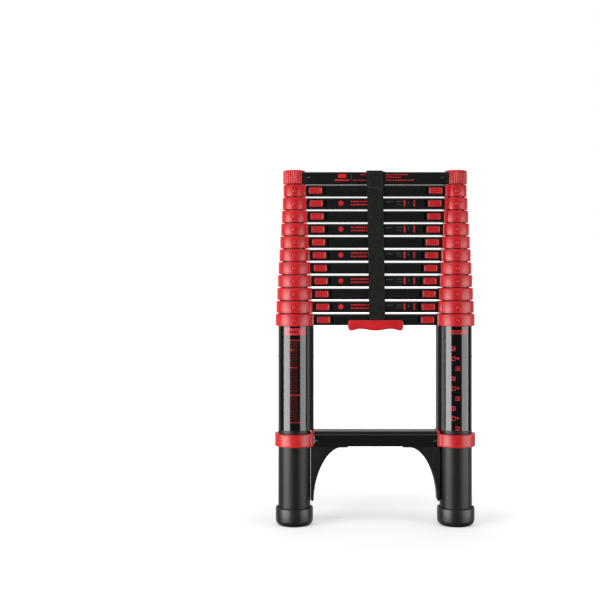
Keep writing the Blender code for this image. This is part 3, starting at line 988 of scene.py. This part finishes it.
def on_stile(side, angle, z):
    """Place and direction on an outer tube, at an angle in degrees from its front towards the middle."""
    a = math.radians(angle)
    direction = (-side * math.sin(a), -math.cos(a), 0)
    outer = tube_radius(1)
    return (side * STILE_X + outer * direction[0], outer * direction[1], z), direction


def make_fasteners():
    rung_low, rung_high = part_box("bottom_rung")
    for side_name, side in SIDES.items():
        screw_z = rung_low.z + 0.0138
        for face, y in (("front", rung_low.y), ("back", rung_high.y)):
            place = (side * 0.1460, y, screw_z)
            make_screw(f"rung_screw_{face}_{side_name}", place, (0, y, 0), 0.0035, "base")
        for index, angle in enumerate((-86, 60)):
            place, direction = on_stile(side, angle, TUBE_RIVET_Z)
            make_screw(f"tube_rivet_{index}_{side_name}", place, direction, 0.0019, "base", recess=False)
        rail_low, rail_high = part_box(f"side_strip_{side_name}")
        place = (rail_low.x if side > 0 else rail_high.x, -0.010, RAIL_RIVET_Z)
        make_screw(f"rail_rivet_{side_name}", place, (-side, 0, 0), 0.0018, "base", recess=False)
        place, direction = on_stile(side, 38, FOOT_SCREW_Z)
        make_screw(f"foot_screw_{side_name}", place, direction, 0.0020, "base", recess=False)
        top_low, top_high = rung_box(SECTIONS)
        for face, y in (("front", top_low.y), ("back", top_high.y)):
            place = (side * 0.1655, y, top_high.z - 0.0135)
            make_screw(f"top_rivet_{face}_{side_name}", place, (0, y, 0), 0.0021, section_body(SECTIONS),
                       recess=False)


# ---------------------------------------------------------------- studio

def make_floor():
    """Pale floor that turns to plain white away from the ladder."""
    floor_mesh = bpy.data.meshes.new("floor")
    size = 60.0
    corners = [(-size, -size, 0), (size, -size, 0), (size, size, 0), (-size, size, 0)]
    floor_mesh.from_pydata(corners, [], [(0, 1, 2, 3)])
    floor = bpy.data.objects.new("floor", floor_mesh)
    bpy.context.scene.collection.objects.link(floor)
    material, tree, shader = new_material("studio_floor", specular=0.1)
    shader.inputs["Base Color"].default_value = (0.98, 0.985, 0.99, 1.0)
    shader.inputs["Roughness"].default_value = 0.9
    coordinates = add(tree, "ShaderNodeTexCoord")
    distance = add(tree, "ShaderNodeVectorMath", operation="LENGTH")
    tree.links.new(coordinates.outputs["Object"], distance.inputs[0])
    glow = add(tree, "ShaderNodeEmission")
    glow.inputs["Strength"].default_value = 1.5
    mixer = add(tree, "ShaderNodeMixShader")
    share = remap(tree, distance.outputs["Value"], 0.25, 1.0, start=0.3, end=1.1)
    tree.links.new(share, mixer.inputs["Fac"])
    tree.links.new(shader.outputs["BSDF"], mixer.inputs[1])
    tree.links.new(glow.outputs["Emission"], mixer.inputs[2])
    tree.links.new(mixer.outputs["Shader"], tree.nodes["Material Output"].inputs["Surface"])
    floor.data.materials.append(material)
    floor.visible_diffuse = False
    floor.visible_glossy = False
    floor.visible_shadow = False


def make_world():
    """White to the camera; otherwise dim in front of the ladder and bright behind it."""
    world = bpy.data.worlds.new("studio")
    bpy.context.scene.world = world
    world.use_nodes = True
    tree = world.node_tree
    background = tree.nodes["Background"]
    coordinates = add(tree, "ShaderNodeTexCoord")
    axes = add(tree, "ShaderNodeSeparateXYZ")
    tree.links.new(coordinates.outputs["Generated"], axes.inputs[0])
    behind = remap(tree, axes.outputs["Y"], 0.04, 1.0, start=0.35, end=0.95)
    rays = add(tree, "ShaderNodeLightPath")
    level = math_node(tree, "MAXIMUM", behind, rays.outputs["Is Camera Ray"])
    tree.links.new(level, background.inputs["Strength"])
    background.inputs["Color"].default_value = (1.0, 1.0, 1.0, 1.0)


def make_softbox(name, azimuth, height, distance, size, power):
    """Area light round the ladder: azimuth 0 is in front of it, positive to the right."""
    light = bpy.data.lights.new(name, "AREA")
    light.shape = "RECTANGLE"
    light.size, light.size_y = size
    light.energy = power
    obj = bpy.data.objects.new(name, light)
    a = math.radians(azimuth)
    obj.location = (distance * math.sin(a), -distance * math.cos(a), height)
    aim = Vector((0.0, 0.0, 0.45)) - obj.location
    obj.rotation_euler = aim.to_track_quat("-Z", "Y").to_euler()
    bpy.context.scene.collection.objects.link(obj)


def make_camera():
    camera = bpy.data.cameras.new("camera")
    camera.lens = CAMERA_LENS
    camera.sensor_width = 36.0
    camera.shift_y = CAMERA_SHIFT
    obj = bpy.data.objects.new("camera", camera)
    obj.location = CAMERA_PLACE
    obj.rotation_euler = (math.radians(90), 0.0, 0.0)
    bpy.context.scene.collection.objects.link(obj)
    bpy.context.scene.camera = obj


# ---------------------------------------------------------------- the whole scene

make_camera()
make_floor()
make_world()
for softbox in SOFTBOXES:
    make_softbox(*softbox)
bpy.context.scene.view_settings.view_transform = "Standard"

for side_name in SIDES:
    for section in range(1, SECTIONS + 1):
        make_tube(section, side_name)
        if section < SECTIONS:
            make_collar(section, side_name)
            make_release(section, side_name)
    make_cap(side_name)
    make_end_plug(side_name)
    make_clamp(side_name)
    make_brace(side_name)
    make_strip(side_name)
    make_foot(side_name)

for section in range(1, SECTIONS + 1):
    windows = rung_windows(section) if section < SECTIONS else []
    make_rung(f"rung_{section:02d}", section_body(section), *rung_box(section), windows)
    if section % 2 == 0 and section < SECTIONS:
        make_rung_marks(section)
make_rung("bottom_rung", "base", *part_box("bottom_rung"), step=BOTTOM_RUNG_STEP, wall=BOTTOM_RUNG_WALL)
make_top_rung_marks()
make_stile_labels()
make_handle()
make_strap()
make_keeper()
make_fasteners()
